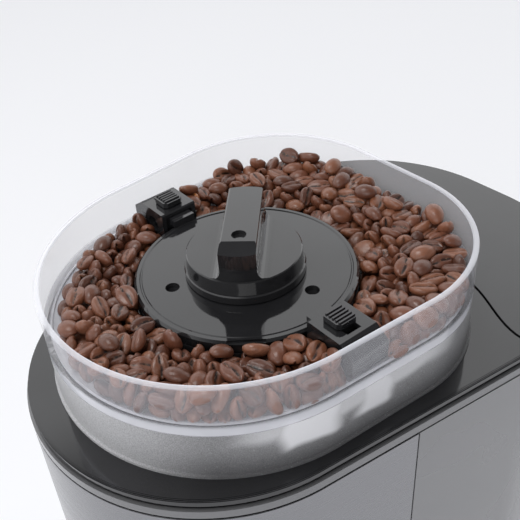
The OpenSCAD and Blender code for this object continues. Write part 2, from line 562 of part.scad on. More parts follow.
// ---------- grounds bay ----------
module bay_liner() color([0.09, 0.09, 0.095]) difference() {
  union() {
    box(30, 115.8, -38.4, 38.4, 37.4, 39.6);
    for (s = [1, -1]) box(30, 115.8, s > 0 ? 36.2 : -38.4, s > 0 ? 38.4 : -36.2, 38, 182.9 + dz);
    box(30, 32, -38.4, 38.4, 38, 182.9 + dz);
    box(113.8, 115.8, -38.4, 38.4, 150, 177 + dz);
    for (s = [1, -1]) for (x = [40, 100]) box(x - 4, x + 4, s*28 - 4, s*28 + 4, 7, 37.5);
  }
  box(25, 35, -17, 17, 149, 180);
}
module grounds_bin() color([0.75, 0.78, 0.8, 0.5]) difference() {
  box(36, 116.5, -bin_y, bin_y, 40, bin_z);
  box(38, 114.5, -bin_y + 2, bin_y - 2, 42, bin_z + 2);
}
module bin_front() color([0.5, 0.5, 0.52]) union() {
  intersection() {
    translate([0, 0, 40]) linear_extrude(108.6) body_flat(0);
    box(116.5, 140, -35.6, 35.6, 39, 150);
  }
  translate([0, 20, 0]) rotate([90, 0, 0]) linear_extrude(40)
    polygon([[122, 137], [124.7, 137], [131.5, 140], [131.5, 147], [130.6, 148.6], [122, 148.6]]);
}

// ---------- fasteners ----------
module screws_m4() color([0.7, 0.7, 0.7]) {
  for (a = [45:90:315]) at(hx, 0) rotate([0, 0, a]) at(46, 0) difference() {
    union() { rod(1.7, 176 + dz, deck_z + 0.2); rod(3.4, deck_z, deck_z + 2.4); }
    translate([0, 0, deck_z + 1.4]) cylinder(r = 1.7, h = 2, $fn = 6);
  }
  for (p = base_screw_at) at(p[0], p[1]) difference() {
    union() { rod(1.7, 6, 36); rod(3.9, 4.2, 6.6); }
    translate([0, 0, 3.6]) cylinder(r = 1.7, h = 1.8, $fn = 6);
  }
}
module screws_m3() color([0.65, 0.65, 0.65]) {
  for (p = box_screw_at) at(p[0], p[1]) { rod(1.35, 143, 154.8); rod(2.6, 143.6, 146); }
  for (s = [1, -1]) at(mx, my) rotate([0, 0, s*90 + 10]) at(19, 0) { rod(1.35, 101, 112); rod(2.6, 110, 112.4); }
  for (s = [1, -1], x = [-6, 6]) at(hx + x, s*62) { rod(1.3, 214, 223.6); rod(2.4, 212.9, 215); }
}

feet();
base_pan();
front_wrap();
rear_shell();
trim_band();
deck();
bay_frame();
rear_lid();
lid_hinge_pin();
hopper_collar();
hopper_tub();
bean_cage();
latch_housing_near();
latch_housing_far();
latch_slide_near();
latch_slide_far();
latch_spring_near();
latch_spring_far();
burr_cover();
knob();
adjust_spindle();
burr_carrier();
ring_burr();
cone_burr();
burr_nut();
burr_shaft();
sweeper();
grind_chamber();
throat_gasket();
chute();
bearing_upper();
bearing_lower();
shaft_seal();
burr_gear();
idler_gear();
idler_shaft();
motor_pinion();
gearbox_case();
gearbox_lid();
motor_can();
motor_magnets();
motor_rotor();
motor_shaft();
commutator();
motor_end_bell();
motor_brushes();
motor_mount();
control_panel();
start_button();
button_spring();
quantity_dial();
dial_encoder();
control_board();
power_inlet();
bay_liner();
grounds_bin();
bin_front();
screws_m4();
screws_m3();
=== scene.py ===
import bpy
import json
import math
import numpy as np
from mathutils import Matrix, Vector

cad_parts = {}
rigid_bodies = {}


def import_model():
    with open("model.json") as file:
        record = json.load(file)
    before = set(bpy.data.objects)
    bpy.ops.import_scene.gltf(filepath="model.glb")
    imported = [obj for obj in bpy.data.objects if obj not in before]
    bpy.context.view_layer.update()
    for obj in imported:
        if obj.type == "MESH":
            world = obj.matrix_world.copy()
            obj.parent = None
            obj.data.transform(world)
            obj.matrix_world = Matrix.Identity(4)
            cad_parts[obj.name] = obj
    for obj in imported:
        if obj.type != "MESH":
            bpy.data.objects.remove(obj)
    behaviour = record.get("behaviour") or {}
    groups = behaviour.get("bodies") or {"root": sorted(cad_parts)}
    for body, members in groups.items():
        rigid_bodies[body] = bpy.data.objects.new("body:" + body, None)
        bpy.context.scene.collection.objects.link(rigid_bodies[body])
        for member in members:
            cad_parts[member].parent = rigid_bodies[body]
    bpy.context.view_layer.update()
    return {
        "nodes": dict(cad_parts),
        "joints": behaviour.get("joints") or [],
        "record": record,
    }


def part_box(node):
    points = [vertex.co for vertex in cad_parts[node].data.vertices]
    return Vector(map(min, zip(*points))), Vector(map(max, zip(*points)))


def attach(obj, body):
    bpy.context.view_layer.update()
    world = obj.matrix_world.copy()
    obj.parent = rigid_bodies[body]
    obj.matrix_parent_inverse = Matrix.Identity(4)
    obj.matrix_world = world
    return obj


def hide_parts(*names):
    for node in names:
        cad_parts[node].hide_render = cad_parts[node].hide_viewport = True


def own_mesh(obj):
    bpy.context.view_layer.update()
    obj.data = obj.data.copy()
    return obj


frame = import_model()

NODES = frame["nodes"]
scene = bpy.context.scene

# ------------------------------------------------------------------ camera
cam_data = bpy.data.cameras.new("Camera")
cam = bpy.data.objects.new("Camera", cam_data)
scene.collection.objects.link(cam)
cam_data.sensor_width = 36.0
cam_data.lens = 55.02
cam_data.shift_x = 0.0917
cam_data.shift_y = 0.0523
cam_data.clip_start = 0.005
cam_data.clip_end = 50.0
right = Vector((0.80019113, -0.59221127, -0.09476265))
up = Vector((0.42909254, 0.45492074, 0.78033756))
back = Vector((-0.41901521, -0.66508114, 0.61813699))
m = Matrix((right, up, back)).transposed().to_4x4()
m.translation = Vector((-0.173412, -0.203204, 0.412667))
cam.matrix_world = m
scene.camera = cam
scene.view_settings.view_transform = "Standard"
scene.view_settings.look = "None"

# ------------------------------------------------------------------ places, from the frame
tub_lo, tub_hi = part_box("hopper_tub")
disc_lo, disc_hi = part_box("burr_cover")
knob_lo, knob_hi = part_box("knob")
collar_lo, collar_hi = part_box("hopper_collar")
HX = (knob_lo.x + knob_hi.x) / 2
DISC_Z = knob_hi.z - 0.023
RIM_Z = tub_hi.z
SEAM_Z = collar_hi.z
DECK_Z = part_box("deck")[1].z


# ------------------------------------------------------------------ node helpers
class Mat:
    """A material being built: every texture is in the object's own coordinates, in metres."""

    def __init__(self, name):
        self.m = bpy.data.materials.new(name)
        self.m.use_nodes = True
        self.t = self.m.node_tree
        self.t.nodes.clear()
        self.out = self.t.nodes.new("ShaderNodeOutputMaterial")
        self.b = self.t.nodes.new("ShaderNodeBsdfPrincipled")
        self.t.links.new(self.b.outputs[0], self.out.inputs[0])
        self.tc = self.t.nodes.new("ShaderNodeTexCoord")

    def put(self, **kw):
        names = {"color": "Base Color", "rough": "Roughness", "metal": "Metallic", "ior": "IOR", "alpha": "Alpha",
                 "coat": "Coat Weight", "coat_rough": "Coat Roughness", "spec": "Specular IOR Level",
                 "trans": "Transmission Weight", "aniso": "Anisotropic", "sheen": "Sheen Weight",
                 "sheen_rough": "Sheen Roughness", "sss": "Subsurface Weight", "sss_scale": "Subsurface Scale",
                 "emis": "Emission Strength", "emis_color": "Emission Color"}
        for k, v in kw.items():
            i = self.b.inputs[names[k]]
            if hasattr(v, "is_output"):
                self.t.links.new(v, i)
            elif isinstance(v, (tuple, list)):
                i.default_value = tuple(v) + ((1.0,) if len(v) == 3 else ())
            else:
                i.default_value = v
        return self

    def _in(self, node, i, v):
        if hasattr(v, "is_output"):
            self.t.links.new(v, node.inputs[i])
        elif isinstance(v, (tuple, list)) and len(v) == 3 and node.inputs[i].type == "RGBA":
            node.inputs[i].default_value = tuple(v) + (1.0,)
        else:
            node.inputs[i].default_value = v

    def scaled(self, sx=1.0, sy=1.0, sz=1.0, rot=(0, 0, 0)):
        n = self.t.nodes.new("ShaderNodeMapping")
        self.t.links.new(self.tc.outputs["Object"], n.inputs[0])
        n.inputs["Scale"].default_value = (sx, sy, sz)
        n.inputs["Rotation"].default_value = rot
        return n.outputs[0]

    def noise(self, scale, detail=3.0, rough=0.55, vec=None, dist=0.0):
        n = self.t.nodes.new("ShaderNodeTexNoise")
        self.t.links.new(vec if vec is not None else self.tc.outputs["Object"], n.inputs["Vector"])
        n.inputs["Scale"].default_value = scale
        n.inputs["Detail"].default_value = detail
        n.inputs["Roughness"].default_value = rough
        n.inputs["Distortion"].default_value = dist
        return n.outputs["Fac"]

    def voronoi(self, scale, vec=None, feature="F1", out="Distance"):
        n = self.t.nodes.new("ShaderNodeTexVoronoi")
        n.feature = feature
        self.t.links.new(vec if vec is not None else self.tc.outputs["Object"], n.inputs["Vector"])
        n.inputs["Scale"].default_value = scale
        return n.outputs[out]

    def ramp(self, v, *stops):
        n = self.t.nodes.new("ShaderNodeValToRGB")
        self.t.links.new(v, n.inputs[0])
        e = n.color_ramp.elements
        while len(e) > 1:
            e.remove(e[-1])
        e[0].position = stops[0][0]
        e[0].color = tuple(stops[0][1]) + (1.0,) if isinstance(stops[0][1], (tuple, list)) else (stops[0][1],) * 3 + (1.0,)
        for p, c in stops[1:]:
            x = e.new(p)
            x.color = tuple(c) + (1.0,) if isinstance(c, (tuple, list)) else (c, c, c, 1.0)
        return n.outputs[0]

    def map(self, v, a, b, c, d, smooth=False):
        n = self.t.nodes.new("ShaderNodeMapRange")
        n.interpolation_type = "SMOOTHSTEP" if smooth else "LINEAR"
        n.clamp = True
        self._in(n, 0, v)
        for i, x in zip((1, 2, 3, 4), (a, b, c, d)):
            self._in(n, i, x)
        return n.outputs[0]

    def math(self, op, a, b=0.0, clamp=False):
        n = self.t.nodes.new("ShaderNodeMath")
        n.operation = op
        n.use_clamp = clamp
        self._in(n, 0, a)
        self._in(n, 1, b)
        return n.outputs[0]

    def mix(self, f, a, b, blend="MIX"):
        n = self.t.nodes.new("ShaderNodeMix")
        n.data_type = "RGBA"
        n.blend_type = blend
        self._in(n, 0, f)
        for i, v in ((6, a), (7, b)):
            self._in(n, i, v)
        return n.outputs[2]

    def xyz(self):
        n = self.t.nodes.new("ShaderNodeSeparateXYZ")
        self.t.links.new(self.tc.outputs["Object"], n.inputs[0])
        return n.outputs

    def layer(self, blend=0.5):
        n = self.t.nodes.new("ShaderNodeLayerWeight")
        n.inputs[0].default_value = blend
        return n.outputs

    def attr(self, name):
        n = self.t.nodes.new("ShaderNodeAttribute")
        n.attribute_name = name
        return n

    def bump(self, height, strength=0.2, distance=0.0005):
        n = self.t.nodes.new("ShaderNodeBump")
        n.inputs["Strength"].default_value = strength
        n.inputs["Distance"].default_value = distance
        self.t.links.new(height, n.inputs["Height"])
        self.t.links.new(n.outputs[0], self.b.inputs["Normal"])
        return self

    def done(self):
        return self.m


def gloss_black(name="gloss_black", color=(0.0115, 0.0115, 0.0125), rough=0.055):
    k = Mat(name)
    fine = k.noise(2600.0, 2.0)
    wide = k.noise(38.0, 3.0)
    k.put(color=k.mix(k.map(wide, 0.35, 0.65, 0.0, 1.0), color, tuple(c * 1.45 for c in color)),
          rough=k.map(wide, 0.3, 0.7, rough, rough + 0.045), ior=1.5, coat=0.25, coat_rough=0.03)
    k.bump(k.math("ADD", k.math("MULTIPLY", fine, 0.25), wide), 0.02, 0.0006)
    return k.done()


def matte_black(name="matte_black", color=(0.022, 0.022, 0.024), rough=0.46):
    k = Mat(name)
    grain = k.noise(1500.0, 2.0)
    wide = k.noise(30.0, 2.0)
    k.put(color=k.mix(wide, color, tuple(c * 1.5 for c in color)), rough=k.map(grain, 0.3, 0.7, rough - 0.06, rough + 0.1))
    k.bump(grain, 0.22, 0.00025)
    return k.done()


def brushed(name, color, rough, across=(4.0, 4.0, 900.0), strength=0.08, metal=1.0, wide_amt=0.06):
    k = Mat(name)
    lines = k.noise(1.0, 2.0, 0.6, k.scaled(*across))
    wide = k.noise(14.0, 2.0)
    k.put(metal=metal, color=k.mix(k.map(lines, 0.3, 0.7, 0.0, 1.0), tuple(c * (1 - wide_amt) for c in color),
                                   tuple(min(1.0, c * (1 + wide_amt)) for c in color)),
          rough=k.math("ADD", k.map(lines, 0.3, 0.7, rough - 0.05, rough + 0.05), k.map(wide, 0.3, 0.7, -0.02, 0.02)))
    k.bump(lines, strength, 0.00012)
    return k.done()


def painted_silver(name, color, rough):
    k = Mat(name)
    flake = k.voronoi(5200.0, out="Color")
    fine = k.noise(900.0, 2.0)
    wide = k.noise(16.0, 2.0)
    k.put(metal=0.55, color=k.mix(k.map(flake, 0.2, 0.8, 0.0, 1.0), tuple(c * 0.98 for c in color), tuple(c * 1.02 for c in color)),
          rough=k.map(wide, 0.3, 0.7, rough - 0.03, rough + 0.04), coat=0.3, coat_rough=0.12)
    k.bump(fine, 0.012, 0.0002)
    return k.done()


def clear_tub():
    k = Mat("clear_tub")
    x, y, z = k.xyz()
    face = k.layer(0.5)["Facing"]
    veil = k.map(face, 0.0, 1.0, 0.085, 0.24)
    # painted highlights: a lighter, more opaque line along the rim and a whitish band at the floor's level
    painted_rim_highlight = k.map(z, RIM_Z - 0.0009, RIM_Z - 0.0003, 0.0, 1.0, True)
    painted_floor_line_light = k.math("MULTIPLY", k.map(z, SEAM_Z - 0.0002, SEAM_Z + 0.0006, 0.0, 1.0, True), k.map(z, SEAM_Z + 0.0032, SEAM_Z + 0.0058, 1.0, 0.0, True))
    a = k.math("ADD", veil, k.math("MULTIPLY", painted_rim_highlight, 0.34))
    a = k.math("ADD", a, k.math("MULTIPLY", painted_floor_line_light, 0.42))
    haze = k.noise(26.0, 3.0)
    a = k.math("MULTIPLY", a, k.map(haze, 0.3, 0.7, 0.92, 1.08), True)
    scuff = k.noise(1.0, 3.0, 0.6, k.scaled(60.0, 60.0, 700.0))
    k.put(color=k.mix(k.math("MAXIMUM", painted_rim_highlight, painted_floor_line_light), (0.70, 0.70, 0.75), (0.84, 0.85, 0.92)), rough=k.map(scuff, 0.35, 0.7, 0.04, 0.12), alpha=a, ior=2.0)
    k.bump(k.noise(60.0, 2.0), 0.03, 0.0006)
    return k.done()


def frosted():
    k = Mat("frosted")
    x, y, z = k.xyz()
    speck = k.noise(2300.0, 2.0, 0.7)
    spark = k.voronoi(3000.0, out="Color")
    # painted light: soft light patches where the tub's floor and the lit inside show through the near side
    blur = k.noise(55.0, 1.0)
    xs = k.math("ADD", x, k.map(blur, 0.3, 0.7, -0.003, 0.003))
    zs = k.math("ADD", z, k.map(blur, 0.3, 0.7, 0.0015, -0.0015))

    def between(v, a, b, w):
        return k.math("MULTIPLY", k.map(v, a - w, a + w, 0.0, 1.0, True), k.map(v, b - w, b + w, 1.0, 0.0, True))

    low_ = k.map(zs, SEAM_Z - 0.0140, SEAM_Z - 0.0105, 0.0, 1.0, True)
    painted_top_light = k.map(zs, SEAM_Z - 0.0085, SEAM_Z - 0.0035, 0.0, 0.62, True)
    one = k.math("MULTIPLY", between(xs, -0.066, -0.0465, 0.0045), low_)
    two = k.math("MULTIPLY", between(xs, -0.037, -0.0215, 0.0035), low_)
    painted_light_patches = k.math("MAXIMUM", k.math("MAXIMUM", one, k.math("MULTIPLY", two, 0.85)), k.math("MULTIPLY", painted_top_light, between(xs, -0.078, 0.004, 0.010)))
    painted_light_patches = k.math("MULTIPLY", painted_light_patches, k.map(y, -0.050, -0.062, 0.0, 1.0, True))
    # painted light and shade: the left end is painted lighter, and the grey is painted darker towards the bottom
    painted_lit_left_end = k.map(x, -0.084, -0.114, 0.0, 1.0, True)
    painted_shade_by_height = k.map(z, SEAM_Z - 0.020, SEAM_Z - 0.003, 0.0, 1.0, True)
    painted_shade_and_light_grey = k.mix(painted_shade_by_height, (0.095, 0.095, 0.099), (0.172, 0.172, 0.177))
    painted_shade_and_light_grey = k.mix(painted_lit_left_end, painted_shade_and_light_grey, (0.37, 0.37, 0.38))
    base = k.mix(k.map(speck, 0.35, 0.65, 0.0, 1.0), k.mix(1.0, painted_shade_and_light_grey, (0.86, 0.86, 0.86), "MULTIPLY"), k.mix(1.0, painted_shade_and_light_grey, (1.5, 1.5, 1.5), "MULTIPLY"))
    # painted light: the patches lift the colour towards near-white
    base = k.mix(k.math("MULTIPLY", painted_light_patches, 0.8), base, (0.84, 0.84, 0.87))
    base = k.mix(k.math("MULTIPLY", k.map(spark, 0.86, 0.95, 0.0, 1.0), 0.25), base, (0.6, 0.6, 0.63))
    k.put(color=base, rough=k.map(speck, 0.3, 0.7, 0.34, 0.5), alpha=k.map(painted_light_patches, 0.0, 1.0, 0.94, 0.90), ior=1.49)
    k.bump(speck, 0.16, 0.00025)
    return k.done()


def smoke_clear():
    k = Mat("smoke_clear")
    face = k.layer(0.35)["Facing"]
    haze = k.noise(40.0, 2.0)
    k.put(color=(0.40, 0.41, 0.44), rough=k.map(haze, 0.3, 0.7, 0.08, 0.16), alpha=k.map(face, 0.0, 1.0, 0.30, 0.6), ior=1.8)
    k.bump(haze, 0.02, 0.0006)
    return k.done()


def rubber():
    k = Mat("rubber")
    g = k.noise(1200.0, 3.0)
    k.put(color=k.mix(k.noise(40.0), (0.014, 0.014, 0.014), (0.03, 0.03, 0.031)), rough=k.map(g, 0.3, 0.7, 0.7, 0.86))
    k.bump(g, 0.3, 0.0003)
    return k.done()


def felt():
    k = Mat("felt")
    g = k.noise(900.0, 5.0, 0.7)
    k.put(color=k.mix(g, (0.48, 0.44, 0.36), (0.66, 0.62, 0.53)), rough=0.95, sheen=0.4, sheen_rough=0.5)
    k.bump(g, 0.7, 0.0006)
    return k.done()


def moulded(name, color, rough, scale=700.0):
    k = Mat(name)
    g = k.noise(scale, 2.0)
    w = k.noise(25.0, 2.0)
    k.put(color=k.mix(k.map(w, 0.3, 0.7, 0.0, 1.0), tuple(c * 0.9 for c in color), tuple(c * 1.1 for c in color)),
          rough=k.map(g, 0.3, 0.7, rough - 0.05, rough + 0.07))
    k.bump(g, 0.1, 0.0003)
    return k.done()


def laminations():
    k = Mat("laminations")
    z = k.xyz()[2]
    lam = k.math("PINGPONG", k.math("MULTIPLY", z, 2000.0), 1.0)
    k.put(metal=0.8, color=k.mix(lam, (0.09, 0.08, 0.075), (0.2, 0.18, 0.165)), rough=k.map(k.noise(300.0), 0.3, 0.7, 0.4, 0.55))
    k.bump(lam, 0.3, 0.0002)
    return k.done()


def board():
    k = Mat("board_green")
    g = k.noise(60.0, 2.0)
    cell = k.voronoi(260.0, feature="DISTANCE_TO_EDGE")
    k.put(color=k.mix(k.map(cell, 0.02, 0.05, 1.0, 0.0), (0.008, 0.075, 0.028), (0.015, 0.13, 0.05)), rough=k.map(g, 0.3, 0.7, 0.25, 0.35), coat=0.3)
    k.bump(cell, 0.1, 0.0002)
    return k.done()


MATS = {
    "black_gloss": gloss_black(),
    "black_matte": matte_black(),
    "steel_wrap": brushed("steel_wrap", (0.270, 0.270, 0.281), 0.25, (3.0, 3.0, 1100.0), 0.006, 1.0, 0.02),
    "silver_shell": painted_silver("silver_shell", (0.205, 0.205, 0.211), 0.28),
    "trim_grey": painted_silver("trim_grey", (0.17, 0.17, 0.176), 0.24),
    "clear_tub": clear_tub(),
    "frosted": frosted(),
    "smoke_clear": smoke_clear(),
    "steel": brushed("steel", (0.60, 0.60, 0.61), 0.22, (900.0, 900.0, 40.0), 0.05),
    "burr_steel": brushed("burr_steel", (0.46, 0.46, 0.47), 0.3, (400.0, 400.0, 400.0), 0.15),
    "cast_grey": moulded("cast_grey", (0.1, 0.1, 0.104), 0.5),
    "zinc": brushed("zinc", (0.56, 0.57, 0.6), 0.33, (30.0, 30.0, 30.0), 0.05, 1.0, 0.12),
    "laminations": laminations(),
    "ferrite": moulded("ferrite", (0.035, 0.035, 0.037), 0.55, 1200.0),
    "copper": brushed("copper", (0.72, 0.36, 0.2), 0.3, (60.0, 60.0, 900.0), 0.1),
    "bronze": brushed("bronze", (0.56, 0.4, 0.2), 0.42, (700.0, 700.0, 700.0), 0.2),
    "nylon": moulded("nylon", (0.74, 0.71, 0.62), 0.4),
    "rubber": rubber(),
    "felt": felt(),
    "board_green": board(),
}

slot_of = {s["node"]: s["material_slot"] for s in frame["record"]["subparts"]}
for name, o in NODES.items():
    mat = MATS[slot_of[name]]
    o.data.materials.clear()
    o.data.materials.append(mat)


# ------------------------------------------------------------------ springs, each copied into its own object on its joint's parent body; the original part is hidden
for joint in frame["joints"]:
    for soft in joint.get("deforming_nodes") or []:
        node, letter = soft["node"], soft["mode"][-1]
        i = "xyz".index(letter)
        spring = bpy.data.objects.new(node + "_coil", NODES[node].data.copy())
        scene.collection.objects.link(spring)
        axis, anchor = [0.0, 0.0, 0.0], [0.0, 0.0, 0.0]
        axis[i], anchor[i] = 1.0, soft["fixed_end_%s_m" % letter]
        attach(spring, joint["parent"])
        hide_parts(node)
        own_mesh(spring)

# ------------------------------------------------------------------ coffee beans
MM = 0.001
HXm, FLOOR, DISC_R = HX / MM, SEAM_Z / MM + 2.0, 44.0
A_C, A_R = HXm - 11.8, 70.2 - 2.2
B_X, B_Y, B_R = HXm + 28.5, 19.1, 53.6 - 2.2
TH = np.linspace(0, 2 * np.pi, 72, endpoint=False)
N_DIR = np.stack([np.cos(TH), np.sin(TH)], 1)
FAR = np.clip(N_DIR @ np.array([-0.60, 0.80]), 0.0, 1.0) ** 1.2
SUPPORT = np.maximum(A_C * N_DIR[:, 0] + A_R, B_X * N_DIR[:, 0] + np.abs(B_Y * N_DIR[:, 1]) + B_R)


def settle(count, seed):
    """Drops beans, each a rigid row of three balls, into the tub, and returns their middles and long axes, in mm."""
    rng = np.random.default_rng(seed)
    mid = np.zeros((count, 3))
    k = 0
    while k < count:
        p = np.array([rng.uniform(-115, 55), rng.uniform(-73, 73)])
        out = (N_DIR @ p - SUPPORT).max()
        r = math.hypot(p[0] - HXm, p[1])
        in_latch = abs(p[0] - HXm) < 13 and 40 < abs(p[1]) < 70
        thin = 0.55 if (p[1] > 30 and p[0] < HXm - 10) else 1.0
        if out < -5 and r > 51 and not in_latch and rng.uniform() < thin:
            mid[k] = (p[0], p[1], FLOOR + 4 + 17 * (k / count) + rng.uniform(0, 3))
            k += 1
    size = rng.uniform(0.91, 1.14, count)
    shy = rng.uniform(0.15, 1.0, count) * 13.0
    a = rng.normal(size=(count, 3)) * (1, 1, 0.35)
    a /= np.linalg.norm(a, axis=1)[:, None]
    half = 2.05 * size
    rad = np.stack([2.55 * size, 2.85 * size, 2.55 * size], 1)
    pts = np.stack([mid - a * half[:, None], mid, mid + a * half[:, None]], 1)
    vel = np.zeros_like(pts)
    bean = np.repeat(np.arange(count), 3)
    R = rad.reshape(-1)
    steps = 170
    pi = pj = None
    for s in range(steps):
        old = pts.copy()
        vel[:, :, 2] -= 0.16
        vel *= 0.93
        pts = pts + vel
        P = pts.reshape(-1, 3)
        if s % 6 == 0:
            grid = np.floor(P / 9.0).astype(int)
            order = {}
            for i, g in enumerate(map(tuple, grid)):
                order.setdefault(g, []).append(i)
            li, lj = [], []
            for g, mine in order.items():
                near = []
                for dx in (-1, 0, 1):
                    for dy in (-1, 0, 1):
                        for dz in (-1, 0, 1):
                            near += order.get((g[0] + dx, g[1] + dy, g[2] + dz), [])
                mine_a, near_a = np.array(mine), np.array(near)
                ii, jj = np.meshgrid(mine_a, near_a, indexing="ij")
                ok = (ii < jj) & (bean[ii] != bean[jj])
                li.append(ii[ok])
                lj.append(jj[ok])
            pi, pj = np.concatenate(li), np.concatenate(lj)
            d = np.linalg.norm(P[pi] - P[pj], axis=1)
            keep = d < R[pi] + R[pj] + 3.0
            pi, pj = pi[keep], pj[keep]
        for _ in range(3):
            P = pts.reshape(-1, 3)
            d = P[pi] - P[pj]
            L = np.linalg.norm(d, axis=1) + 1e-9
            over = R[pi] + R[pj] - L
            hit = over > 0
            push = (d[hit] / L[hit, None]) * (over[hit, None] * 0.5 * 0.8)
            acc = np.zeros_like(P)
            cnt = np.zeros(len(P))
            np.add.at(acc, pi[hit], push)
            np.add.at(acc, pj[hit], -push)
            np.add.at(cnt, pi[hit], 1)
            np.add.at(cnt, pj[hit], 1)
            P = P + acc / np.maximum(cnt, 1)[:, None] * 1.3
            # floor, which falls away in a funnel near the disc
            dx, dy = P[:, 0] - HXm, P[:, 1]
            r = np.hypot(dx, dy) + 1e-9
            fl = np.where(r > 57.6, FLOOR, FLOOR - (57.6 - r) * 0.62)
            P[:, 2] = np.maximum(P[:, 2], fl + R)
            # disc, cage and what stands on them
            inner = 44.6 + R
            low = P[:, 2] < FLOOR + 40
            fix = (r < inner) & low
            P[fix, 0] = HXm + dx[fix] / r[fix] * inner[fix]
            P[fix, 1] = dy[fix] / r[fix] * inner[fix]
            # wall
            g = P[:, :2] @ N_DIR.T - SUPPORT[None, :]
            w = (g + np.repeat(shy, 3)[:, None] * FAR[None, :]).argmax(1)
            out = (g + np.repeat(shy, 3)[:, None] * FAR[None, :]).max(1) + R + 0.15
            fix = out > 0
            P[fix, :2] -= N_DIR[w[fix]] * out[fix, None]
            # latch housings
            for sy in (-1, 1):
                hx, hy = 8.8 + R, R
                lx = P[:, 0] - HXm
                ly = P[:, 1] * sy
                pen_x = hx - np.abs(lx)
                pen_y0 = ly - (45.2 - hy)
                pen_y1 = (68.2 + hy) - ly
                pen_z = 231.2 + R * 0.8 - P[:, 2]
                inside = (pen_x > 0) & (pen_y0 > 0) & (pen_y1 > 0) & (pen_z > 0)
                side = inside & (pen_x < pen_z + 3)
                P[side, 0] += np.sign(lx[side]) * pen_x[side]
                top = inside & ~side
                P[top, 2] += pen_z[top]
            pts = P.reshape(-1, 3, 3)
            c = pts.mean(1)
            ax = pts[:, 2] - pts[:, 0]
            ax /= np.linalg.norm(ax, axis=1)[:, None] + 1e-9
            pts = np.stack([c - ax * half[:, None], c, c + ax * half[:, None]], 1)
        vel = pts - old
        sp = np.linalg.norm(vel, axis=2, keepdims=True)
        vel = vel * np.minimum(1.0, 1.2 / (sp + 1e-9))
        if s > 120:
            vel *= 0.8
    return pts.mean(1), ax, size, rng


def bean_shape(kind, nu=22, nv=15):
    """One bean, 9.5 x 7 x 5.4 mm, flat side up with its crease, in mm. Returns points, faces and a crease mask."""
    rng = np.random.default_rng(100 + kind)
    bend, skew, wide = rng.uniform(-0.35, 0.35), rng.uniform(-0.12, 0.12), rng.uniform(0.92, 1.08)
    P, mask = [], []
    for j in range(nv + 1):
        th = math.pi * j / nv
        for i in range(nu):
            ph = 2 * math.pi * i / nu
            x = math.cos(th)
            s = math.sin(th)
            y, z = s * math.cos(ph), s * math.sin(ph)
            sq = 1 - 0.10 * x * x
            px = 4.75 * x
            py = 3.5 * y * wide * (1 + skew * x)
            pz = 2.75 * z * sq
            if z > 0:
                flat = 1.35 * (1 - (1 - min(1.0, z * 1.5)) ** 2) * (1 - 0.25 * x * x)
                pz = flat
            line = 0.10 * math.sin(2.4 * x + bend * 3) + bend * 0.25 * x
            d = py / 3.5 - line
            groove = math.exp(-(d / 0.115) ** 2) * max(0.0, 1 - abs(x) ** 5) * (1 if z > 0 else 0)
            side = math.exp(-((abs(d) - 0.30) / 0.22) ** 2) * (1 if z > 0 else 0) * max(0.0, 1 - abs(x) ** 3)
            pz += 0.36 * side - 1.45 * groove
            P.append((px, py, pz - 0.1))
            mask.append(groove)
    F = []
    for j in range(nv):
        for i in range(nu):
            a, b = j * nu + i, j * nu + (i + 1) % nu
            if j == 0:
                F.append((a, b + nu, a + nu))
            elif j == nv - 1:
                F.append((a, b, a + nu))
            else:
                F.append((a, b, b + nu, a + nu))
    return np.array(P), F, np.array(mask)


def make_beans(name, placed, mine, fine):
    mid, ax, size, _ = placed
    rng = np.random.default_rng(5 if fine else 6)
    shapes = [bean_shape(k, *((22, 15) if fine else (14, 9))) for k in range(6)]
    verts, faces, tint, crease = [], [], [], []
    off = 0
    for i in mine:
        P, F, msk = shapes[rng.integers(0, 6)]
        X = ax[i] * (1 if rng.uniform() < 0.5 else -1)
        Z = np.array([0.0, 0.0, 1.0]) - X * X[2]
        n = np.linalg.norm(Z)
        Z = Z / n if n > 0.05 else np.cross(X, (1, 0, 0))
        Z /= np.linalg.norm(Z)
        Y = np.cross(Z, X)
        roll = rng.normal(0, 0.45) + (0 if rng.uniform() < 0.56 else math.pi)
        Zr = Z * math.cos(roll) + Y * math.sin(roll)
        Yr = np.cross(Zr, X)
        M3 = np.stack([X, Yr, Zr], 1)
        q = (P * size[i]) @ M3.T + mid[i]
        verts.append(q * MM)
        t = rng.uniform()
        hue = rng.uniform()
        if rng.uniform() < 0.009:
            hue = 3.0
        for f in F:
            faces.append(tuple(v + off for v in f))
        tint.append(np.repeat([[t, hue]], len(P), 0))
        crease.append(msk)
        off += len(P)
    V = np.concatenate(verts)
    tint = np.concatenate(tint)
    crease = np.concatenate(crease)
    me = bpy.data.meshes.new(name)
    me.from_pydata(V.tolist(), [], faces)
    me.update()
    me.polygons.foreach_set("use_smooth", [True] * len(me.polygons))
    colour = me.color_attributes.new("bean", "FLOAT_COLOR", "POINT")
    data = np.zeros((len(V), 4), np.float32)
    data[:, 0] = tint[:, 0]
    data[:, 1] = np.where(tint[:, 1] > 2, 1.0, tint[:, 1] * 0.8)
    data[:, 2] = crease
    data[:, 3] = 1.0
    colour.data.foreach_set("color", data.reshape(-1))
    o = bpy.data.objects.new(name, me)
    scene.collection.objects.link(o)
    return o


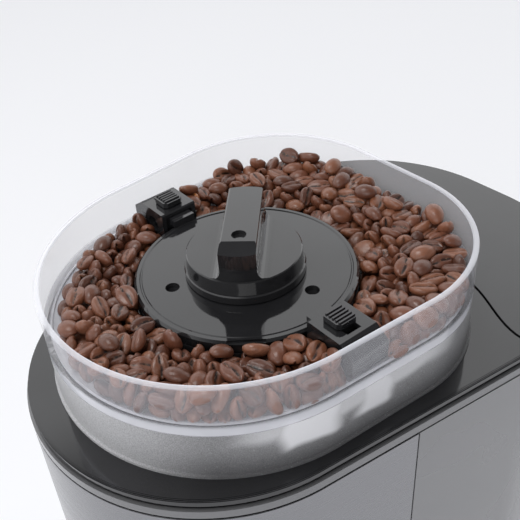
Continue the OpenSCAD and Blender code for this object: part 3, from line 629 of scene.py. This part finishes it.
def bean_material():
    k = Mat("coffee_bean")
    at = k.attr("bean")
    sep = k.t.nodes.new("ShaderNodeSeparateColor")
    k.t.links.new(at.outputs["Color"], sep.inputs[0])
    t, hue, crease = sep.outputs[0], sep.outputs[1], sep.outputs[2]
    base = k.ramp(t, (0.0, (0.080, 0.026, 0.013)), (0.45, (0.135, 0.046, 0.024)), (0.8, (0.180, 0.065, 0.034)), (1.0, (0.22, 0.087, 0.047)))
    base = k.mix(k.map(hue, 0.50, 0.8, 0.0, 0.75), base, (0.215, 0.078, 0.034))
    base = k.mix(k.map(hue, 0.9, 0.95, 0.0, 1.0), base, (0.36, 0.13, 0.040))
    mottle = k.noise(420.0, 4.0, 0.6)
    base = k.mix(k.map(mottle, 0.35, 0.7, 0.0, 0.45), base, k.mix(1.0, base, (0.55, 0.5, 0.48), "MULTIPLY"))
    # painted shade and real chaff: the crease is painted near black, with patches of tan chaff
    silver = k.noise(900.0, 3.0, 0.6)
    crease_shade_and_chaff = k.mix(k.map(silver, 0.54, 0.66, 0.0, 1.0), (0.018, 0.008, 0.006), (0.26, 0.13, 0.07))
    base = k.mix(k.map(crease, 0.18, 0.6, 0.0, 0.95, True), base, crease_shade_and_chaff)
    wr = k.noise(1.0, 4.0, 0.6, k.scaled(380.0, 380.0, 620.0), 0.6)
    k.put(color=base, rough=k.map(mottle, 0.3, 0.7, 0.32, 0.48), ior=1.47, coat=0.24, coat_rough=0.20)
    k.bump(k.math("ADD", wr, k.math("MULTIPLY", mottle, 0.5)), 0.5, 0.0007)
    return k.done()


placed = settle(500, 11)
on_latch = (np.abs(placed[0][:, 0] - HXm) < 9.5) & (np.abs(placed[0][:, 1]) > 44) & (np.abs(placed[0][:, 1]) < 69)
height = np.where(on_latch, np.nan, placed[0][:, 2])
bean_mat = bean_material()
for nm, mine, fine in (("coffee_beans_top", np.flatnonzero(height >= 220.3), True), ("coffee_beans_low", np.flatnonzero(height < 220.3), False)):
    beans = make_beans(nm, placed, mine, fine)
    beans.data.materials.append(bean_mat)
    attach(beans, "housing")

# ------------------------------------------------------------------ floor
fm = Mat("floor_paper")
fn = fm.noise(3.0, 2.0)
fm.put(color=fm.mix(fn, (0.495, 0.498, 0.510), (0.505, 0.508, 0.520)), rough=0.9, emis=0.43, emis_color=(0.953, 0.960, 1.0))
fm.bump(fm.noise(700.0), 0.05, 0.0003)
floor_me = bpy.data.meshes.new("floor")
floor_me.from_pydata([(-9, -9, 0), (9, -9, 0), (9, 9, 0), (-9, 9, 0)], [], [(0, 1, 2, 3)])
floor = bpy.data.objects.new("floor", floor_me)
scene.collection.objects.link(floor)
floor_me.materials.append(fm.done())

# ------------------------------------------------------------------ light
world = bpy.data.worlds.new("studio")
world.use_nodes = True
wt = world.node_tree
wt.nodes.clear()
wo = wt.nodes.new("ShaderNodeOutputWorld")
bg = wt.nodes.new("ShaderNodeBackground")
geo = wt.nodes.new("ShaderNodeTexCoord")
sepw = wt.nodes.new("ShaderNodeSeparateXYZ")
def wmap(v, a, b_, c, d):
    n = wt.nodes.new("ShaderNodeMapRange")
    n.interpolation_type = "SMOOTHSTEP"
    n.clamp = True
    wt.links.new(v, n.inputs[0])
    for i, q in zip((1, 2, 3, 4), (a, b_, c, d)):
        if hasattr(q, "is_output"):
            wt.links.new(q, n.inputs[i])
        else:
            n.inputs[i].default_value = q
    return n.outputs[0]


def wmath(op, a, b_):
    n = wt.nodes.new("ShaderNodeMath")
    n.operation = op
    for i, q in enumerate((a, b_)):
        if hasattr(q, "is_output"):
            wt.links.new(q, n.inputs[i])
        else:
            n.inputs[i].default_value = q
    return n.outputs[0]


wt.links.new(geo.outputs["Generated"], sepw.inputs[0])
wx, wy, wz = sepw.outputs
# a wide white screen stands behind and to the left, up to 47 degrees; the room above and in front of it is dimmer
toward = wmath("ADD", wmath("MULTIPLY", wx, 0.45), wmath("MULTIPLY", wy, 0.89))
drop = wmath("ADD", wmap(wz, 0.70, 0.775, 0.74, 0.0), wmap(wz, 0.80, 0.88, 0.26, 0.0))
screen = wmath("MULTIPLY", wmap(toward, -0.10, 0.30, 0.0, 1.0), drop)
left = wmath("MULTIPLY", wmap(wx, -0.35, -0.75, 0.0, 1.0), wmap(wz, 0.55, 0.75, 1.0, 0.0))
glow = wmath("MAXIMUM", wmath("MULTIPLY", screen, 1.62), wmath("MULTIPLY", left, 1.35))
room = wmap(wz, 0.10, 0.75, 0.50, 0.16)
level = wmath("MAXIMUM", glow, room)
wt.links.new(level, bg.inputs[1])
bg.inputs[0].default_value = (0.985, 0.99, 1.0, 1)
wt.links.new(bg.outputs[0], wo.inputs[0])
scene.world = world


def area(name, loc, target, size, size_y, power, color=(1, 1, 1)):
    d = bpy.data.lights.new(name, "AREA")
    d.shape = "RECTANGLE"
    d.size, d.size_y = size, size_y
    d.energy = power
    d.color = color
    o = bpy.data.objects.new(name, d)
    scene.collection.objects.link(o)
    o.location = loc
    o.rotation_mode = "QUATERNION"
    o.rotation_quaternion = (Vector(target) - Vector(loc)).to_track_quat("-Z", "Y")
    return o


area("key", (-0.35, 0.10, 1.35), (0, 0, 0.2), 0.55, 0.45, 7.0)
area("fill", (-0.75, -0.95, 0.75), (0, 0, 0.15), 0.7, 0.35, 3.5)
